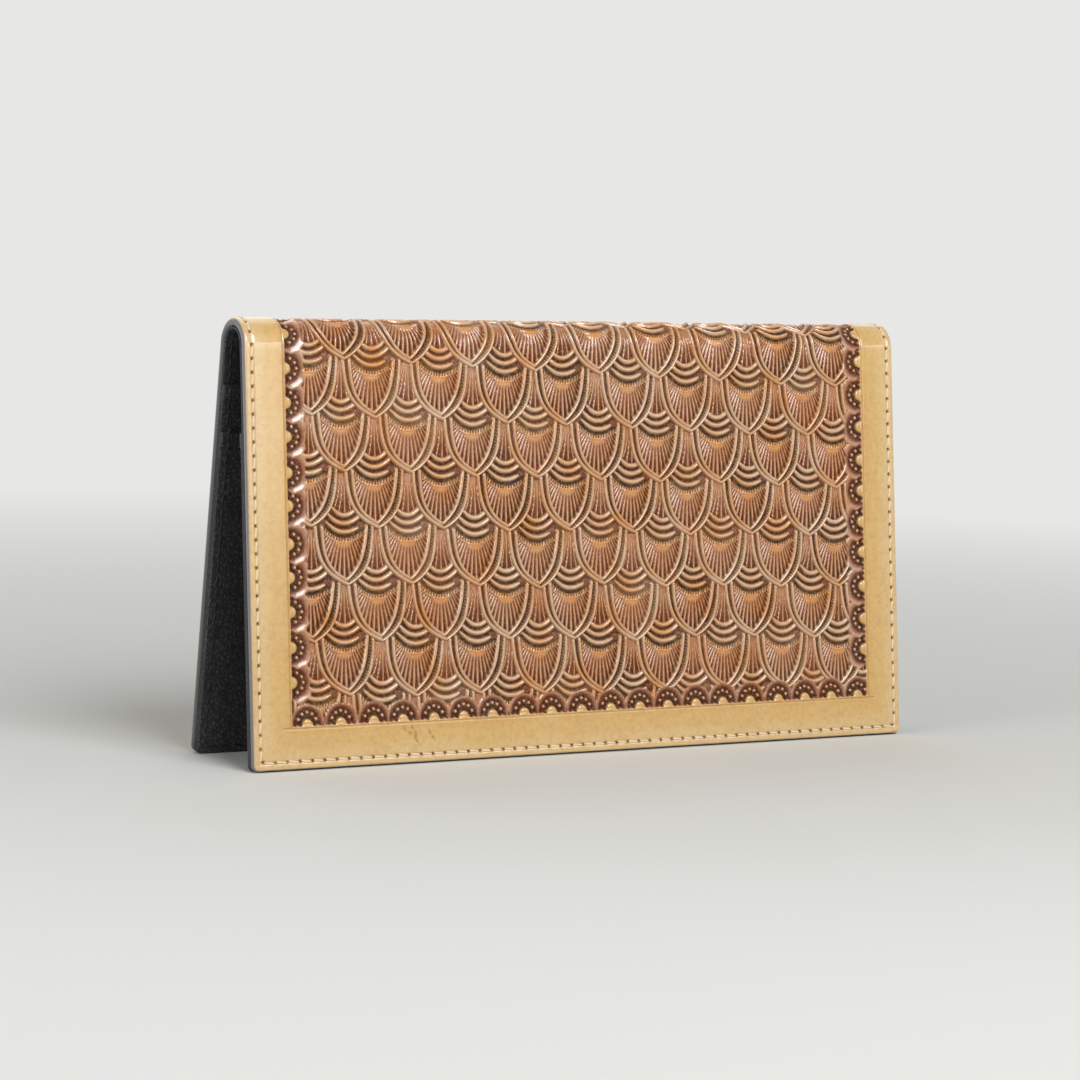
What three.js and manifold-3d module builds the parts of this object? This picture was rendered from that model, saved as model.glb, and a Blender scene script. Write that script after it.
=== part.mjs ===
// Long tooled leather wallet, standing half open like a tent with its fold at the top.
// Millimetres, +Z up. X runs along the fold and the front cover faces -Y. The origin is on the
// ground, under the middle of the fold.

import * as THREE from 'three';
import { mergeVertices } from 'three/addons/utils/BufferGeometryUtils.js';
import Module from 'manifold-3d';

const wasm = await Module();
wasm.setup();

// Overall sizes
const panelWidth = 165;            // length of the fold
const legLength = 88;              // flat part of each cover, from the fold to its free edge
const innerFoldRadius = 3.35;      // lining's inner face round the fold
const halfAngle = THREE.MathUtils.degToRad(6.2);   // each cover's lean as the wallet stands
const cornerRadius = 2;            // free corners of every leather layer

// Leather layers, from the tooled face inwards
const coverThickness = 1.8;
const liningThickness = 0.55;
const pocketThickness = 0.55;
const cementGap = 0.1;             // glue line between two layers
const hingeGap = 0.5;              // between the fold strip and each panel, at the lining's face

// Slip pockets: each mouth is measured down the leg from the fold
const frontPocketMouth = 18.2;
const rearPocketMouth = 8.7;
const rearPocketStep = 9.9;        // from the upper pocket's mouth to the lower pocket's
const hemHeight = 3.3;             // turned hem along each mouth
const hemThickness = 0.5;          // what the turned hem adds to the pocket leather

// Tooled field on the cover
const borderWidth = 9;             // plain margin along the free edges and the ends
const fieldDepth = 0.45;           // how far the tooled ground is pressed in
const scaleRise = 0.35;            // height of a scale over that ground
const scalePitch = 15.7;           // between neighbours in a row
const rowPitch = 11.55;
const scaleHeight = 11.2;
const scaleHalfWidth = 5.2;
const tipTaper = 3.1;              // how quickly a scale widens from its tip
const browSag = 1.7;               // how far a scale's upper edge sags in the middle
const scaleRoot = 0.1;             // how far a scale is sunk in the ground, to be one leather with it
const firstTip = 6;                // tips of the front's first row, below the fold
const rowOffset = 3.4;             // that row's middle scale, off the middle of the fold
const scaleSteps = 4;              // points up each side of a scale

// Seam round the edges
const stitchInset = 1.75;          // seam line from the edge
const seamCornerRadius = 1.2;
const threadWidth = 0.7;
const threadHeight = 0.4;
const threadSink = 0.05;           // cover thread's top below the cover's face
const threadClearance = 0.1;       // round the thread, to the leather

const foldSegments = 20;
const cornerSegments = 4;
const cutMargin = 1;               // how far a cutter reaches past the leather

// Radii of the layers round the fold's centre, which are also their distances in each panel
const liningOuterRadius = innerFoldRadius + liningThickness;
const coverInnerRadius = liningOuterRadius + cementGap;
const foldRadius = coverInnerRadius + coverThickness;
const firstPocketRadius = innerFoldRadius - cementGap;
const firstPocketInner = firstPocketRadius - pocketThickness;
const secondPocketRadius = firstPocketInner - cementGap;
const secondPocketInner = secondPocketRadius - pocketThickness;

// The rear panel's innermost layer stands on the ground
const foldCentre = legLength * Math.cos(halfAngle) - secondPocketInner * Math.sin(halfAngle);
const foldSweepStart = halfAngle + hingeGap / innerFoldRadius;
const foldArc = foldRadius * (Math.PI - 2 * halfAngle);
const fieldHalfWidth = panelWidth / 2 - borderWidth;
const fieldBottom = -(legLength - borderWidth);
const seamX = panelWidth / 2 - stitchInset;
const seamBottom = -(legLength - stitchInset);
const grooveWidth = threadWidth + 2 * threadClearance;
const grooveDepth = threadSink + threadHeight + threadClearance;

const leatherTan = { color: 0xd9ae66, roughness: 0.45, metalness: 0 };
const leatherBlack = { color: 0x1d1c1e, roughness: 0.6, metalness: 0 };
const threadCream = { color: 0xe6d3ae, roughness: 0.8, metalness: 0 };
const threadBlack = { color: 0x17161a, roughness: 0.8, metalness: 0 };

function toSolid(geometry) {
  const bare = geometry.clone();
  bare.deleteAttribute('normal');
  bare.deleteAttribute('uv');
  const merged = mergeVertices(bare);
  return new wasm.Manifold(new wasm.Mesh({
    numProp: 3,
    vertProperties: merged.attributes.position.array,
    triVerts: new Uint32Array(merged.index.array),
  }));
}

function toGeometry(solid) {
  const mesh = solid.getMesh();
  const geometry = new THREE.BufferGeometry();
  geometry.setAttribute('position', new THREE.BufferAttribute(mesh.vertProperties, 3));
  geometry.setIndex(new THREE.BufferAttribute(mesh.triVerts, 1));
  geometry.computeVertexNormals();
  return geometry;
}

function piece(name, geometry, finish) {
  const mesh = new THREE.Mesh(geometry, new THREE.MeshStandardMaterial(finish));
  mesh.name = name;
  return mesh;
}

// A panel's own frame: x along the fold, z up the leg with 0 at the fold, y from the tooled face
// at -foldRadius inwards. An outline is drawn in x and z and given its thickness inwards from y.
function layer(outline, outerY, thickness) {
  const geometry = new THREE.ExtrudeGeometry(outline, {
    depth: thickness,
    bevelEnabled: false,
    curveSegments: cornerSegments,
  });
  geometry.rotateX(Math.PI / 2);
  geometry.translate(0, outerY + thickness, 0);
  return geometry;
}

// An outline drawn in y and z, given its width along x about the middle.
function along(outline, width, middle, segments = 1) {
  const geometry = new THREE.ExtrudeGeometry(outline, {
    depth: width,
    bevelEnabled: false,
    curveSegments: segments,
  });
  const xAxis = new THREE.Vector3(1, 0, 0);
  const yAxis = new THREE.Vector3(0, 1, 0);
  const zAxis = new THREE.Vector3(0, 0, 1);
  geometry.applyMatrix4(new THREE.Matrix4().makeBasis(yAxis, zAxis, xAxis));
  geometry.translate(middle - width / 2, 0, 0);
  return geometry;
}

// Leather sheet with square upper corners and round free corners.
function panelOutline(top) {
  const side = panelWidth / 2;
  const shape = new THREE.Shape();
  shape.moveTo(-side, top);
  shape.lineTo(-side, cornerRadius - legLength);
  shape.absarc(cornerRadius - side, cornerRadius - legLength, cornerRadius, Math.PI, 1.5 * Math.PI);
  shape.lineTo(side - cornerRadius, -legLength);
  shape.absarc(side - cornerRadius, cornerRadius - legLength, cornerRadius, 1.5 * Math.PI, 2 * Math.PI);
  shape.lineTo(side, top);
  shape.closePath();
  return shape;
}

// U-shaped band of the given width on the seam line: down one end, along the free edge and up.
function seamBand(width, top) {
  const half = width / 2;
  const outer = seamX + half;
  const inner = seamX - half;
  const arcX = seamX - seamCornerRadius;
  const arcZ = seamBottom + seamCornerRadius;
  const outerArc = seamCornerRadius + half;
  const innerArc = seamCornerRadius - half;
  const shape = new THREE.Shape();
  shape.moveTo(-outer, top);
  shape.lineTo(-outer, arcZ);
  shape.absarc(-arcX, arcZ, outerArc, Math.PI, 1.5 * Math.PI);
  shape.lineTo(arcX, seamBottom - half);
  shape.absarc(arcX, arcZ, outerArc, 1.5 * Math.PI, 2 * Math.PI);
  shape.lineTo(outer, top);
  shape.lineTo(inner, top);
  shape.lineTo(inner, arcZ);
  shape.absarc(arcX, arcZ, innerArc, 2 * Math.PI, 1.5 * Math.PI, true);
  shape.lineTo(-arcX, seamBottom + half);
  shape.absarc(-arcX, arcZ, innerArc, 1.5 * Math.PI, Math.PI, true);
  shape.lineTo(-inner, top);
  shape.closePath();
  return shape;
}

function rectangle(left, right, bottom, top) {
  const shape = new THREE.Shape();
  shape.moveTo(left, bottom);
  shape.lineTo(right, bottom);
  shape.lineTo(right, top);
  shape.lineTo(left, top);
  shape.closePath();
  return shape;
}

// Half ring round the fold's centre, its ends turned past the sweep by the given angle.
function foldRing(outerRadius, innerRadius, width, middle, extraAngle = 0) {
  const start = foldSweepStart - extraAngle;
  const end = Math.PI - start;
  const shape = new THREE.Shape();
  shape.absarc(0, 0, outerRadius, start, end);
  shape.absarc(0, 0, innerRadius, end, start, true);
  shape.closePath();
  return along(shape, width, middle, foldSegments);
}

// Pointed scale; its body lies above the tip for direction 1 and below it for direction -1.
function scaleOutline(tipX, tipZ, direction) {
  const side = [];
  for (let i = 1; i <= scaleSteps; i += 1) {
    const rise = scaleHeight * (i / scaleSteps) ** 2;
    side.push([scaleHalfWidth * (1 - Math.exp(-rise / tipTaper)), rise]);
  }
  const brow = scaleHeight - browSag;
  const shape = new THREE.Shape();
  shape.moveTo(tipX, tipZ);
  side.forEach(([x, rise]) => shape.lineTo(tipX + x, tipZ + direction * rise));
  shape.lineTo(tipX, tipZ + direction * brow);
  side.reverse().forEach(([x, rise]) => shape.lineTo(tipX - x, tipZ + direction * rise));
  shape.closePath();
  return shape;
}

// Rows of scales on a panel, every other row moved by half a pitch, clipped to the tooled field.
function scaleField(rowStart, direction) {
  const ground = fieldDepth - foldRadius;
  const scales = [];
  const columns = Math.ceil(fieldHalfWidth / scalePitch) + 1;
  for (let row = -1; (row - 1) * rowPitch < legLength; row += 1) {
    const tipZ = -(rowStart + row * rowPitch);
    const shift = direction * (rowOffset + (row % 2) * scalePitch / 2);
    for (let column = -columns; column <= columns; column += 1) {
      const outline = scaleOutline(column * scalePitch + shift, tipZ, direction);
      scales.push(toSolid(layer(outline, ground - scaleRise, scaleRise + scaleRoot)));
    }
  }
  const field = rectangle(-fieldHalfWidth, fieldHalfWidth, fieldBottom, 0);
  const window = toSolid(layer(field, -foldRadius, fieldDepth + scaleRoot));
  return wasm.Manifold.union(scales).intersect(window);
}

function coverPanel(name, rowStart, direction) {
  const field = rectangle(-fieldHalfWidth, fieldHalfWidth, fieldBottom, cutMargin);
  const fieldCut = toSolid(layer(field, -foldRadius - cutMargin, cutMargin + fieldDepth));
  const groove = layer(seamBand(grooveWidth, cutMargin), -foldRadius - cutMargin, cutMargin + grooveDepth);
  const sheet = toSolid(layer(panelOutline(0), -foldRadius, coverThickness));
  const tooled = sheet.subtract(fieldCut).subtract(toSolid(groove)).add(scaleField(rowStart, direction));
  return piece(name, toGeometry(tooled), leatherTan);
}

function liningPanel(name) {
  return piece(name, layer(panelOutline(0), -liningOuterRadius, liningThickness), leatherBlack);
}

function pocketPanel(name, outerRadius, mouth) {
  const sheet = toSolid(layer(panelOutline(-mouth), -outerRadius, pocketThickness));
  const hemOutline = rectangle(-panelWidth / 2, panelWidth / 2, -mouth - hemHeight, -mouth);
  const hem = toSolid(layer(hemOutline, -outerRadius, pocketThickness + hemThickness));
  return piece(name, toGeometry(sheet.add(hem)), leatherBlack);
}

function coverThread(name) {
  const band = layer(seamBand(threadWidth, 0), threadSink - foldRadius, threadHeight);
  return piece(name, band, threadCream);
}

// Levels of the inner face down a panel: [distance from the fold, y of the leather's face].
function innerLevels(pockets) {
  const levels = [[0, -innerFoldRadius]];
  pockets.forEach(([mouth, innerRadius]) => {
    levels.push([mouth, hemThickness - innerRadius]);
    levels.push([mouth + hemHeight, -innerRadius]);
  });
  return levels;
}

// Side run of the lining thread: it climbs over each hem and drops to each pocket's leather.
function climbingStrip(levels) {
  const near = [];
  const far = [];
  levels.forEach(([down, face], i) => {
    const seat = face + threadClearance;
    if (i > 0) {
      const before = levels[i - 1][1] + threadClearance;
      const sign = seat > before ? 1 : -1;
      const nearZ = sign * threadClearance - down;
      const farZ = nearZ + sign * threadHeight;
      near.push([before, nearZ], [seat, nearZ]);
      far.push([before + threadHeight, farZ], [seat + threadHeight, farZ]);
    } else {
      near.push([seat, -down]);
      far.push([seat + threadHeight, -down]);
    }
  });
  const last = levels[levels.length - 1][1] + threadClearance;
  near.push([last, seamBottom - threadWidth / 2]);
  far.push([last + threadHeight, seamBottom - threadWidth / 2]);
  const shape = new THREE.Shape();
  near.concat(far.reverse()).forEach(([y, z], i) => (i ? shape.lineTo(y, z) : shape.moveTo(y, z)));
  shape.closePath();
  return shape;
}

function liningThread(name, pockets) {
  const levels = innerLevels(pockets);
  const strip = climbingStrip(levels);
  const left = toSolid(along(strip, threadWidth, -seamX));
  const right = toSolid(along(strip, threadWidth, seamX));
  const half = threadWidth / 2;
  const bar = rectangle(-seamX, seamX, seamBottom - half, seamBottom + half);
  const bottom = toSolid(layer(bar, levels[levels.length - 1][1] + threadClearance, threadHeight));
  return piece(name, toGeometry(left.add(right).add(bottom)), threadBlack);
}

function coverFold() {
  const extra = hingeGap / innerFoldRadius;
  let strip = toSolid(foldRing(foldRadius, coverInnerRadius, panelWidth, 0));
  const fieldCut = foldRing(foldRadius + cutMargin, foldRadius - fieldDepth, 2 * fieldHalfWidth, 0, extra);
  strip = strip.subtract(toSolid(fieldCut));
  [-seamX, seamX].forEach((x) => {
    const groove = foldRing(foldRadius + cutMargin, foldRadius - grooveDepth, grooveWidth, x, extra);
    strip = strip.subtract(toSolid(groove));
  });
  return piece('cover_fold', toGeometry(strip), leatherTan);
}

function foldThread(name, outerRadius, x, finish) {
  return piece(name, foldRing(outerRadius, outerRadius - threadHeight, threadWidth, x), finish);
}

const frontPockets = [[frontPocketMouth, firstPocketInner]];
const rearLowerMouth = rearPocketMouth + rearPocketStep;
const rearPockets = [[rearPocketMouth, firstPocketInner], [rearLowerMouth, secondPocketInner]];

// The rows run on over the fold, so the rear's scales point up at it
const rowsBeforeRear = Math.ceil((firstTip + foldArc) / rowPitch);
const rearFirstTip = rowsBeforeRear * rowPitch - firstTip - foldArc;

const frontPanel = new THREE.Group();
frontPanel.add(coverPanel('cover_front', firstTip, 1));
frontPanel.add(liningPanel('lining_front'));
frontPanel.add(pocketPanel('front_pocket', firstPocketRadius, frontPocketMouth));
frontPanel.add(coverThread('cover_thread_front'));
frontPanel.add(liningThread('lining_thread_front', frontPockets));
frontPanel.position.set(0, 0, foldCentre);
frontPanel.rotation.set(-halfAngle, 0, 0);

const rearPanel = new THREE.Group();
rearPanel.add(coverPanel('cover_rear', rearFirstTip, -1));
rearPanel.add(liningPanel('lining_rear'));
rearPanel.add(pocketPanel('rear_upper_pocket', firstPocketRadius, rearPocketMouth));
rearPanel.add(pocketPanel('rear_lower_pocket', secondPocketRadius, rearLowerMouth));
rearPanel.add(coverThread('cover_thread_rear'));
rearPanel.add(liningThread('lining_thread_rear', rearPockets));
rearPanel.position.set(0, 0, foldCentre);
rearPanel.rotation.set(halfAngle, 0, Math.PI);

const fold = new THREE.Group();
const coverThreadRadius = foldRadius - threadSink;
const liningThreadRadius = innerFoldRadius - threadClearance;
fold.add(coverFold());
fold.add(piece('lining_fold', foldRing(liningOuterRadius, innerFoldRadius, panelWidth, 0), leatherBlack));
fold.add(foldThread('cover_thread_fold_left', coverThreadRadius, -seamX, threadCream));
fold.add(foldThread('cover_thread_fold_right', coverThreadRadius, seamX, threadCream));
fold.add(foldThread('lining_thread_fold_left', liningThreadRadius, -seamX, threadBlack));
fold.add(foldThread('lining_thread_fold_right', liningThreadRadius, seamX, threadBlack));
fold.position.set(0, 0, foldCentre);

const wallet = new THREE.Group();
wallet.name = 'tooled_wallet';
wallet.add(frontPanel, rearPanel, fold);

export default wallet;
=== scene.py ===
import math

import bpy
import numpy as np
from mathutils import Matrix, Vector


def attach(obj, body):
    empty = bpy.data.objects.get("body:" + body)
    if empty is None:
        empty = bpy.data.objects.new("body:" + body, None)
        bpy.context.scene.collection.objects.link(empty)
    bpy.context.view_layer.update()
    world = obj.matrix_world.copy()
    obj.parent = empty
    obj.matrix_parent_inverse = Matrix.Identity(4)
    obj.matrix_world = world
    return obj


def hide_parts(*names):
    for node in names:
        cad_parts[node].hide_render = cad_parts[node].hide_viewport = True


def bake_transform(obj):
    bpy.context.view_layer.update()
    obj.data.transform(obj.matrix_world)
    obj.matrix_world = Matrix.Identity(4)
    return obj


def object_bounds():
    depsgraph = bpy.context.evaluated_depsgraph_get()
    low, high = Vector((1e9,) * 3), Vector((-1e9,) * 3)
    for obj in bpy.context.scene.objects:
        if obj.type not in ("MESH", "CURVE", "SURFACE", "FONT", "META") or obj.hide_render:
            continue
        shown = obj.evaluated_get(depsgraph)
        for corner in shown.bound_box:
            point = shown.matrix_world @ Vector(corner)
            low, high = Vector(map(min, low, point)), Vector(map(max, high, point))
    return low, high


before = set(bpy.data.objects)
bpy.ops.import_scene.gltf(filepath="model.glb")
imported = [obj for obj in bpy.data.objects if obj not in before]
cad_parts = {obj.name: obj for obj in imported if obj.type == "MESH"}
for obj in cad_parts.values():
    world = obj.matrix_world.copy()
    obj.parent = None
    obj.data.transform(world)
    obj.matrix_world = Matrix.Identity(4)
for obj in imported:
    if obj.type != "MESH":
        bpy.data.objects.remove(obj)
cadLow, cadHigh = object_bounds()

mm = 0.001

# The folded sheets share one shape: two flat legs and an arc over the fold. All in millimetres.
wallet = {
    "lean": math.radians(6.2),      # each leg from upright
    "leg": 88.0,                    # from the fold to the free edge
    "coverFace": 5.8,               # radii round the fold's centre
    "coverBack": 4.0,
    "liningBack": 3.9,
    "liningFace": 3.35,
    "corner": 1.2,                  # free corners
    "seamInset": 1.6,
    "seamCorner": 1.2,
}
halfWidth = (cadHigh.x - cadLow.x) / 2 / mm
foldCentre = cadHigh.z / mm - wallet["coverFace"]
crownAngle = math.pi / 2 - wallet["lean"]
crown = -wallet["coverFace"] * crownAngle      # s at the top of the fold; s is 0 where a leg begins


# Where a point of a sheet is: x along the fold, s down the leg, r out from the fold's centre
def place(x, s, r, side):
    x, s, r = np.broadcast_arrays(np.asarray(x, float), s, r)
    turn = wallet["lean"] + np.maximum(-s, 0) / wallet["coverFace"]
    down = np.maximum(s, 0)
    y = side * (r * np.cos(turn) + down * math.sin(wallet["lean"]))
    z = foldCentre + r * np.sin(turn) - down * math.cos(wallet["lean"])
    return np.stack([x, y, z], -1) * mm


def ease(value, low, high):            # 0 below low, 1 above high
    t = np.clip((value - low) / (high - low), 0, 1)
    return t * t * (3 - 2 * t)


def bead(distance, half):              # round section of a ridge
    return np.clip(1 - (distance / half) ** 2, 0, 1)


def selectOnly(piece):
    bpy.ops.object.select_all(action="DESELECT")
    piece.select_set(True)
    bpy.context.view_layer.objects.active = piece


# Tooling: each scale is one stamp, pressed row by row from the free edge up to the fold and over it
scale = {
    "pitch": 15.77,
    "row": 11.55,
    "firstTip": 5.1,
    "offset": 3.4,
    "fall": 0.045,                     # the rows run down to the right
    "fallLess": 0.003,                 # less so, row by row
    "ground": -0.62,
    "inner": {"x": -0.2, "y": 0.35, "left": (5.7, 2.7), "right": (5.25, 3.9)},    # tip, then width and taper
    "outer": {"x": 0.2, "y": -0.6, "left": (7.7, 3.1), "right": (6.05, 2.9)},
    "fanX": -0.6,
    "fanY": 13.5,
    "ray": math.radians(6),
    "brow": (-0.65, 9.35, 0.122, 0.075),       # lowest x and y, curve left and right
    "lash": 0.66,
    "knurl": 0.74,
    "neckX": -0.3,
    "lines": 2.2,                      # flutes in half the neck
    "window": (8.6, 8.0, 23.2, 1.8),   # reach of the stamp left, right, up and down
}
crescents = [                          # as the brow, then left and right end
    (-0.45, 10.30, 0.108, 0.089, -5.3, 3.2),
    (-0.55, 12.10, 0.134, 0.114, -5.0, 4.6),
    (-0.45, 13.80, 0.186, 0.178, -3.9, 3.6),
]


def fromRidge(x, y, line):             # distance out from the ridge line of a shield
    x, up = x - line["x"], y - line["y"]
    width = np.where(x < 0, line["left"][0], line["right"][0])
    taper = np.where(x < 0, line["left"][1], line["right"][1])
    fall = np.exp(-np.maximum(up, 0) / taper)
    reach = np.where(up > 0, width * (1 - fall), width / taper * up)
    return (np.abs(x) - reach) / np.hypot(1, width / taper * fall)


def fromBowl(x, y, lowX, lowY, left, right):   # distance up from a sagging line
    curve = np.where(x < lowX, left, right)
    return (y - lowY - curve * (x - lowX) ** 2) / np.hypot(1, 2 * curve * (x - lowX))


def nearest(value):                    # signed distance to the nearest whole number
    return value - np.round(value)


def comb(value, pitch):                # teeth, 1 on each and 0 between them
    return 0.5 + 0.5 * np.cos(2 * math.pi * value / pitch)


def press(field, area, show, stamp):
    for name, value in stamp.items():
        field[name][area] = field[name][area] * (1 - show) + value * show


def windowOf(xs, ss, x0, s0, left, right, above, below):
    cols = slice(*np.searchsorted(xs, (x0 - left, x0 + right)))
    rows = slice(*np.searchsorted(ss, (s0 - above, s0 + below)))
    return rows, cols


def stampScale(field, xs, ss, x0, s0, turn, deep, tone):
    v = scale
    area = windowOf(xs, ss, x0, s0, *v["window"])
    across, up = np.meshgrid(xs[area[1]] - x0, s0 - ss[area[0]])
    if across.size == 0:
        return
    x = across * math.cos(turn) + up * math.sin(turn)
    y = up * math.cos(turn) - across * math.sin(turn)
    fromInner = fromRidge(x, y, v["inner"])
    fromOuter = fromRidge(x, y, v["outer"])
    brow = fromBowl(x, y, *v["brow"])
    right = ease(x, -1, 1)
    sides = 1 - ease(y, 11.2, 12.2)
    height = np.full_like(x, v["ground"])
    dark = np.full_like(x, 0.4)
    rust = np.full_like(x, 0.6)

    # fan of rays inside the shield, smooth and golden under the brow, with a moat on the right. Stain lies
    # between the rays; the fan's right part is painted darker as shade, and the moat holds stain and painted
    # shadow of the right ridge
    fanX, fanY = x - v["fanX"], v["fanY"] - y
    far = np.hypot(fanX, fanY)
    ray = bead(nearest(np.arctan2(fanX, fanY) / v["ray"]) * v["ray"] * far, 0.06 + 0.025 * far)
    out = ease(np.hypot((x + 0.7) / 2.4, (y - 8.3) / 1.7), 0.45, 1.15)
    moat = bead(fromInner + 0.95, 0.75) * right
    inside = ease(-fromInner, 0.1, 0.4) * ease(-brow, 0.25, 0.5)
    fan = v["ground"] + 0.04 + 0.26 * (1 - out) + out * (0.28 * ray - 0.08) - 0.18 * moat
    # stain between the rays, darker outwards, plus painted shade on the fan's right part
    shade = (1 - ray) * out * (0.24 + 0.46 * ease(far, 6.5, 11.0) + 0.20 * right)
    height += (fan - height) * inside
    # the moat's darkness is stain in its groove and painted shadow of the right ridge
    dark += (np.maximum(shade, 0.9 * moat * (1 - 0.5 * ray)) - dark) * inside
    rust += (0.15 + 0.85 * out * (1 - ray) - rust) * inside
    gold = inside * np.maximum(1 - out, (0.3 + 0.5 * ray) * (1 - 0.7 * ease(far, 6.0, 11.0)))

    # three crescents over the brow
    over = ease(brow, 0.45, 0.7) * ease(-y, -15.8, -14.8)
    height -= 0.14 * over
    dark += (0.85 - dark) * over
    for lowX, lowY, leftCurve, rightCurve, leftEnd, rightEnd in crescents:
        off = fromBowl(x, y, lowX, lowY, leftCurve, rightCurve)
        ends = ease(x, leftEnd, leftEnd + 1.8) * ease(-x, -rightEnd, 1.8 - rightEnd)
        ridge = bead(off, 0.26 + 0.34 * ends) * ease(ends, 0, 0.25)
        height = np.maximum(height, v["ground"] - 0.14 + 0.68 * ridge)
        dark = dark * (1 - ease(ridge, 0.0, 0.5))
        rust = rust * (1 - ridge)

    # flutes fanning down on to the crescents
    flute = ease(off, 0.40, 0.75) * ease(y, 13.6, 14.6)
    spread = np.interp(y, [14.5, 15.5, 17, 20, 23], [3.1, 2.65, 1.95, 1.25, 0.85])
    line = bead(nearest((x - v["neckX"]) / spread * v["lines"]) * spread / v["lines"], 0.06 + 0.045 * spread)
    low = ease(-y, -21, -15)
    line = line * ease(-y, -22.5, -18.5)
    height += (v["ground"] + 0.02 + 0.28 * line + 0.10 * (1 - low) - height) * flute
    dark += ((1 - line) * (0.12 + 0.50 * low) - dark) * flute
    rust += ((0.60 + 0.40 * low) * (1 - line) - rust) * flute
    gold = np.maximum(gold, flute * (0.75 - 0.45 * low))

    # dark hollow under the lowest crescent, with a pale rim cut by lashes
    within = ease(-fromInner, -0.3, 0.1)
    rim = bead(brow + 0.80, 0.60) * ease(-fromInner, 0.2, 0.6)
    height += 0.20 * rim
    dark = dark * (1 - 0.9 * rim)
    rust = rust * (1 - 0.6 * rim)
    band = ease(brow, -0.45, -0.2) * ease(-brow, -0.5, -0.3) * within
    lash = comb(x - 0.25 * y, v["lash"]) * ease(brow, -1.15, -0.85) * ease(-brow, -0.2, 0.2) * within
    hollow = np.maximum(band, 0.9 * lash)
    height += (v["ground"] - 0.24 - height) * hollow
    dark += (1 - dark) * hollow
    rust = rust * (1 - hollow)

    # double ridge round the shield, its groove knurled on the right; the groove holds stain, and its right
    # side is painted darker and less warm as shade
    ridgeIn = bead(fromInner, 0.46) * sides
    ridgeOut = bead(fromOuter, 0.48 - 0.11 * right) * sides
    groove = ease(fromInner, 0.15, 0.45) * ease(-fromOuter, 0.05, 0.35) * sides
    knurl = comb(y + 0.6 * x, v["knurl"]) * ease(fromOuter, -1.05, -0.6) * groove * right
    height += 0.28 * knurl - groove * (0.06 + 0.16 * right)
    # on the right the groove is painted darker as shade, over its stain
    dark += ((0.6 + 0.4 * right) * (1 - 0.75 * knurl) - dark) * groove
    rust = rust * (1 - 0.7 * groove * right)
    height = np.maximum(height, v["ground"] + 0.58 * ridgeIn)
    height = np.maximum(height, v["ground"] + 0.52 * ridgeOut)
    lift = np.maximum(ridgeIn, ridgeOut)
    dark = dark * (1 - lift ** 0.7)
    rust = rust * (1 - 0.9 * lift)

    # granular patch at the right end of the lowest crescent
    patch = ease(np.exp(-((x - 3.5) / 1.1) ** 2 - ((y - 11.5) / 0.8) ** 2), 0.3, 0.7) * (1 - lift)
    seed = 0.5 + 0.5 * np.sin(x * 8.1) * np.sin(y * 7.3)
    height += patch * (0.06 + 0.16 * seed)
    dark += (0.75 - 0.45 * seed - dark) * patch
    rust = np.maximum(rust, patch)

    # the stamp shows as a shield with a neck above it
    shield = ease(0.64 - 0.20 * right - fromOuter, 0, 0.2) * ease(-y, -12.4, -11.4)
    neck = np.interp(y, [9, 11, 14, 16, 19, 23], [5.6, 5.4, 4.4, 3.8, 2.8, 2.0])
    stem = ease(neck - np.abs(x - v["neckX"]), 0, 0.3) * ease(y, 9.5, 10.5) * ease(-y, -22.9, -22.3)
    stamp = {"height": height * deep, "dark": dark * tone, "gold": gold, "rust": rust}
    press(field, area, np.maximum(shield, stem), stamp)


# Half-round stamps along the border line, each with a row of pearls round a small dome
edgeStamp = {
    "depth": 4.5,
    "halfWide": 3.6,
    "ground": -0.62,
    "ring": 0.74,                      # shares of the stamp's radius
    "burnish": (0.26, 0.08),           # smooth leather beside a stamp, past its radius, at the ends and below
    "pearlRing": 0.665,
    "pearl": 0.42,
    "pearls": 7,
    "pearlStep": math.radians(29.5),
    "domeWide": 1.45,
    "domeDeep": 1.7,
    "window": (5.5, 5.5, 5.5, 5.5),
}


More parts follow.
